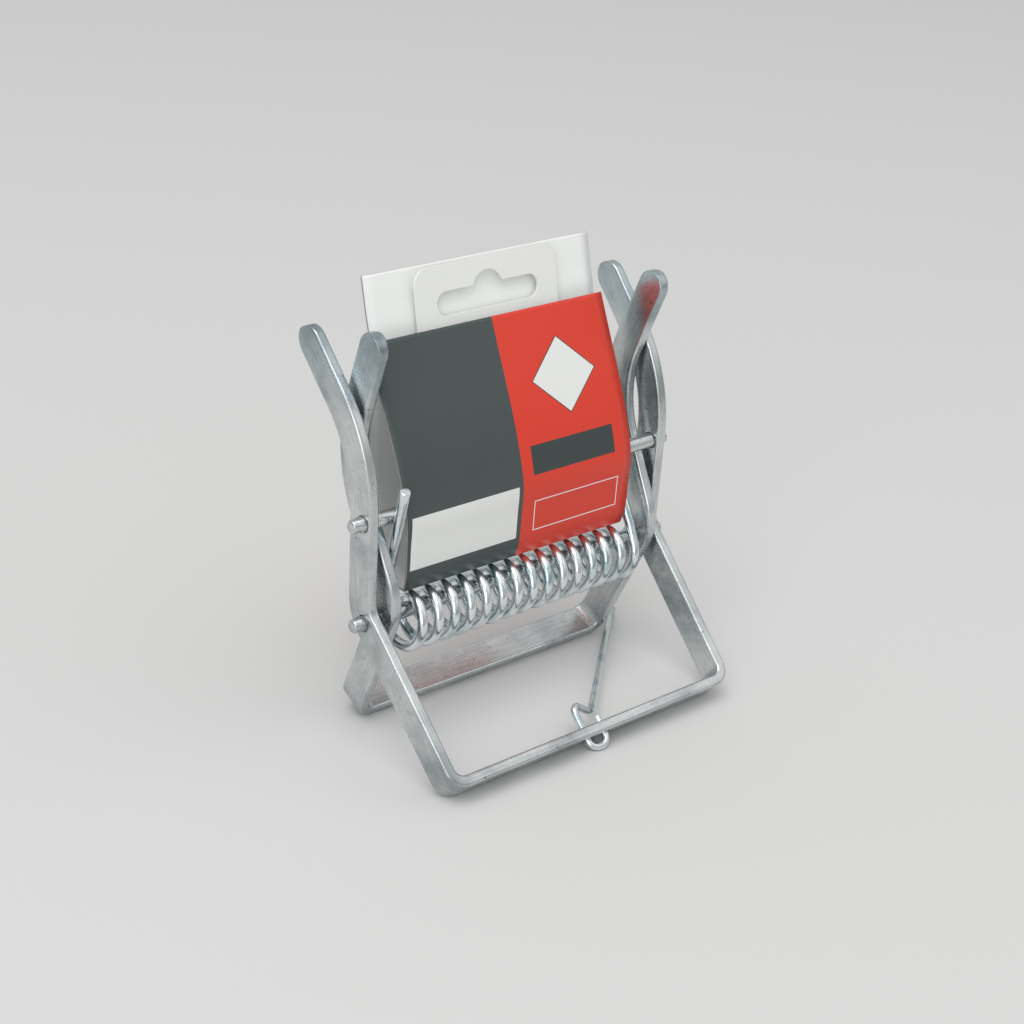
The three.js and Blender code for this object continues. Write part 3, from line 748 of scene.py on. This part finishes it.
def cardPiece():
    made = card
    foldHeight = pivot.z + (rodRadius + coil["hangGap"] + 2 * coil["wire"]) * mm
    foldHeight += (restGap + made["thickness"] / 2) * mm

    def upper(pairs):
        return [Vector((0, stop.y + depth * mm, stop.z + rise * mm)) for depth, rise in pairs]

    def lower(pairs):
        return [Vector((0, pivot.y + depth * mm, foldHeight + share * (stop.z - foldHeight)))
                for depth, share in pairs]

    beforeRod = Vector((0, stop.y - (rodRadius + made["stopGap"] + made["thickness"] / 2) * mm, stop.z))
    fold = [Vector((0, pivot.y - made["foldDepth"] * mm, foldHeight + made["foldRise"] * mm)),
            Vector((0, pivot.y, foldHeight))]
    front = upper(made["frontUpper"]) + [beforeRod] + lower(made["frontLower"]) + fold
    rear = upper(made["rearUpper"])
    line = smoothLine(front + lower(made["rearLower"]) + rear, made["stepsPerPoint"])
    foldIndex = made["stepsPerPoint"] * (len(front) - 1)
    bm = bmesh.new()
    station = bm.verts.layers.int.new("station")  # carried along by each extrusion
    verts = [bm.verts.new(place) for place in line]
    for index, vert in enumerate(verts):
        vert[station] = index
    edges = [bm.edges.new(pair) for pair in zip(verts, verts[1:])]
    for _ in range(made["columns"]):
        grown = bmesh.ops.extrude_edge_only(bm, edges=edges)["geom"]
        edges = [item for item in grown if isinstance(item, bmesh.types.BMEdge)]
        moved = [item for item in grown if isinstance(item, bmesh.types.BMVert)]
        bmesh.ops.translate(bm, vec=(1, 0, 0), verts=moved)
    for vert in bm.verts:
        share = vert.co.x / made["columns"]
        flare = made["flareFold"] * (1 - (vert[station] - foldIndex) / (len(line) - 1 - foldIndex))
        if vert[station] < foldIndex:
            flare = made["flareTop"] + (made["flareFold"] - made["flareTop"]) * vert[station] / foldIndex
        vert.co.x = (made["halfWidth"] * (2 * share - 1) - flare * (1 - share)) * mm
    for face in bm.faces:
        # the rear panel's own three materials follow the front panel's three
        face.material_index = 3 if max(vert[station] for vert in face.verts) > foldIndex else 0
    bmesh.ops.recalc_face_normals(bm, faces=bm.faces)
    nearRod = min(bm.faces, key=lambda face: (face.calc_center_median() - beforeRod).length)
    if nearRod.normal.y > 0:
        bmesh.ops.reverse_faces(bm, faces=bm.faces)
    piece = finishMesh("headerCardBoard", bm, [frontInk, bareBoard, cutEdge, rearInk, bareBoard, cutEdge])
    wall = piece.modifiers.new("boardThickness", "SOLIDIFY")
    wall.thickness = made["thickness"] * mm
    wall.offset = 0
    wall.material_offset = 1
    wall.material_offset_rim = 2
    bakeModifiers(piece)
    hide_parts("header_card")
    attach(piece, "outer_frame")
    return rear


rearPanel = cardPiece()
print("card made")


# Hang tab: a leaf of board with a long hanging slot, between the card's panels

tab = {"thickness": 0.6, "gap": 2.1, "lean": 0.22, "drop": 0.6, "length": 29.2, "halfWidth": 23.0,
       "corner": 4.5, "slotDrop": 9.8, "slotHalfWidth": 16.5, "slotHalfHeight": 3.1, "slotRound": 0.98,
       "humpRadius": 5.0, "humpRise": 1.5, "cornerSteps": 12, "slotSteps": 8, "humpSides": 48}


# A flat plate in its own XY plane; corners picks which of its upright edges are rounded
def boardPlate(name, width, height, thickness, corners, radius, segments, materials):
    bm = bmesh.new()
    bmesh.ops.create_cube(bm, size=1)
    bmesh.ops.scale(bm, vec=(width, height, thickness), verts=bm.verts)
    upright = []
    for edge in bm.edges:
        start, end = [vert.co for vert in edge.verts]
        if abs(start.z - end.z) > thickness / 2 and corners(start):
            upright.append(edge)
    bmesh.ops.bevel(bm, geom=upright, offset=radius, offset_type="OFFSET", affect="EDGES",
                    segments=segments, profile=0.5, material=-1)
    return finishMesh(name, bm, materials, smooth=False)


def tabPiece():
    made = tab
    top = rearPanel[-1]
    length = made["length"] * mm
    piece = boardPlate("hangTabBoard", 2 * made["halfWidth"] * mm, length, made["thickness"] * mm,
                       lambda corner: corner.y > 0, made["corner"] * mm, made["cornerSteps"], [tabBoard])
    slotMiddle = length / 2 - made["slotDrop"] * mm
    slot = boardPlate("slotCutter", 2 * made["slotHalfWidth"] * mm, 2 * made["slotHalfHeight"] * mm,
                      4 * made["thickness"] * mm, lambda corner: True,
                      made["slotHalfHeight"] * made["slotRound"] * mm, made["slotSteps"], [])
    slot.data.transform(Matrix.Translation((0, slotMiddle, 0)))
    cutAway(piece, slot)
    humpMiddle = Vector((0, slotMiddle + made["humpRise"] * mm, 0))
    hump = drillBit(made["humpRadius"] * mm, 4 * made["thickness"] * mm, humpMiddle, Vector((0, 0, 1)),
                    made["humpSides"])
    below = slotMiddle - made["slotHalfHeight"] * mm
    bm = bmesh.new()
    bm.from_mesh(hump.data)
    cutPlane = bmesh.ops.bisect_plane(bm, geom=bm.verts[:] + bm.edges[:] + bm.faces[:],
                                      plane_co=(0, below, 0), plane_no=(0, -1, 0), clear_outer=True)
    rim = [item for item in cutPlane["geom_cut"] if isinstance(item, bmesh.types.BMEdge)]
    bmesh.ops.contextual_create(bm, geom=rim)
    bm.to_mesh(hump.data)
    bm.free()
    cutAway(piece, hump)
    stand = Matrix.Translation(top) @ Matrix.Rotation(math.pi / 2 - made["lean"], 4, "X")
    hung = Matrix.Translation((
        0, -length / 2 - made["drop"] * mm, (made["thickness"] / 2 + made["gap"]) * mm))
    piece.data.transform(stand @ hung)
    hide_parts("hang_tab")
    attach(piece, "outer_frame")


tabPiece()
print("tab made")


# Stage: floor, light and camera

studio = {"floor": "#D3D3D2", "floorSize": 12.0, "floorRough": 0.65, "floorSpecular": 0.2,
          "worldStrength": 0.71, "aim": (0, 0, 0.05)}
sky = [(0.0, "#D8DADA"), (0.12, "#C3C8C9"), (0.42, "#E3E5E5"), (0.75, "#FFFFFF")]  # height and colour
softboxes = {  # place and size in metres, power in watts
    "keySoftbox": {"place": (-0.7, -0.35, 2.3), "power": 24.0, "size": 1.7},
    "sideSoftbox": {"place": (-1.1, -0.7, 0.55), "power": 4.0, "size": 0.9},
    "frontSoftbox": {"place": (1.25, -0.87, 1.35), "power": 2.4, "size": 1.6}}


def floorPiece():
    bm = bmesh.new()
    bmesh.ops.create_grid(bm, x_segments=2, y_segments=2, size=studio["floorSize"] / 2)
    material, tree, shader = newMaterial("paleSweep")
    shader.inputs["Base Color"].default_value = linearColour(studio["floor"])
    shader.inputs["Roughness"].default_value = studio["floorRough"]
    shader.inputs["Specular IOR Level"].default_value = studio["floorSpecular"]
    finishMesh("floor", bm, [material], smooth=False)


def studioWorld():
    world = bpy.data.worlds.new("softStudio")
    world.use_nodes = True
    tree = world.node_tree
    tree.nodes.clear()
    place = addNode(tree, "ShaderNodeTexCoord").outputs["Generated"]
    height = addNode(tree, "ShaderNodeSeparateXYZ", {0: place}).outputs["Z"]
    colour = rampOf(tree, height, [(place, linearColour(hexValue)) for place, hexValue in sky])
    light = addNode(tree, "ShaderNodeBackground", {"Color": colour, "Strength": studio["worldStrength"]})
    output = addNode(tree, "ShaderNodeOutputWorld")
    tree.links.new(light.outputs[0], output.inputs[0])
    scene.world = world


def softLight(name, place, power, size):
    light = bpy.data.lights.new(name, "AREA")
    light.shape = "SQUARE"
    light.size = size
    light.energy = power
    lamp = bpy.data.objects.new(name, light)
    lamp.location = place
    lamp.rotation_euler = (Vector(studio["aim"]) - Vector(place)).to_track_quat("-Z", "Y").to_euler()
    scene.collection.objects.link(lamp)


view = {"place": (-304.04, -337.32, 274.88),  # mm, the depth counted from the pivot rod
        "right": (0.7657, -0.6394, 0.0692), "up": (0.2344, 0.3777, 0.8958), "lens": 68.41, "sensor": 36.0}


def cameraAtPhoto():
    data = bpy.data.cameras.new("photoCamera")
    data.lens = view["lens"]
    data.sensor_width = view["sensor"]
    data.clip_start = 0.01
    right = Vector(view["right"]).normalized()
    up = Vector(view["up"])
    up = (up - right * up.dot(right)).normalized()
    back = right.cross(up)
    place = Vector(view["place"]) * mm + Vector((0, pivot.y, 0))
    camera = bpy.data.objects.new("photoCamera", data)
    rows = [[right[row], up[row], back[row], place[row]] for row in range(3)]
    camera.matrix_world = Matrix(rows + [[0, 0, 0, 1]])
    scene.collection.objects.link(camera)
    scene.camera = camera


floorPiece()
studioWorld()
for boxName, box in softboxes.items():
    softLight(boxName, **box)
cameraAtPhoto()
scene.view_settings.view_transform = "Standard"
print("stage made")
